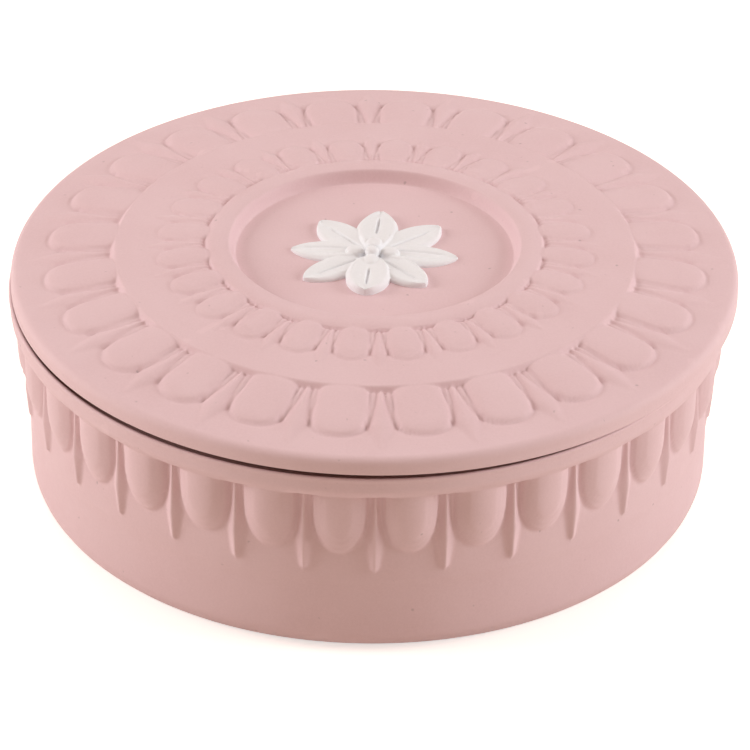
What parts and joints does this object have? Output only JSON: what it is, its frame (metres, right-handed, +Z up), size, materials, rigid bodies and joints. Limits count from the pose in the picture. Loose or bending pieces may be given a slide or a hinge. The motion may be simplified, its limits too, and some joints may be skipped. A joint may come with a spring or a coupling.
{
  "type": "round box",
  "caption": "Low round unglazed stoneware box with a lift-off lid, egg-and-dart relief and a white applied flower on the lid.",
  "frame": {"origin": "centre of the underside, on the box's axis", "axes": "+Z up along the box's axis, +X to the right and +Y away from the viewer of the picture"},
  "size_m": [0.12, 0.12, 0.0435],
  "materials": {
    "pink_stoneware": "matte unglazed",
    "white_stoneware": "matte unglazed"
  },
  "bodies": {
    "base": {"base": "pink_stoneware"},
    "lid": {"lid": "pink_stoneware", "applied_flower": "white_stoneware"}
  },
  "joints": [
    {"name": "lid_lift", "type": "slide", "parent": "base", "child": "lid", "axis": [0, 0, 1], "range_m": [0, 0.06]}
  ]
}
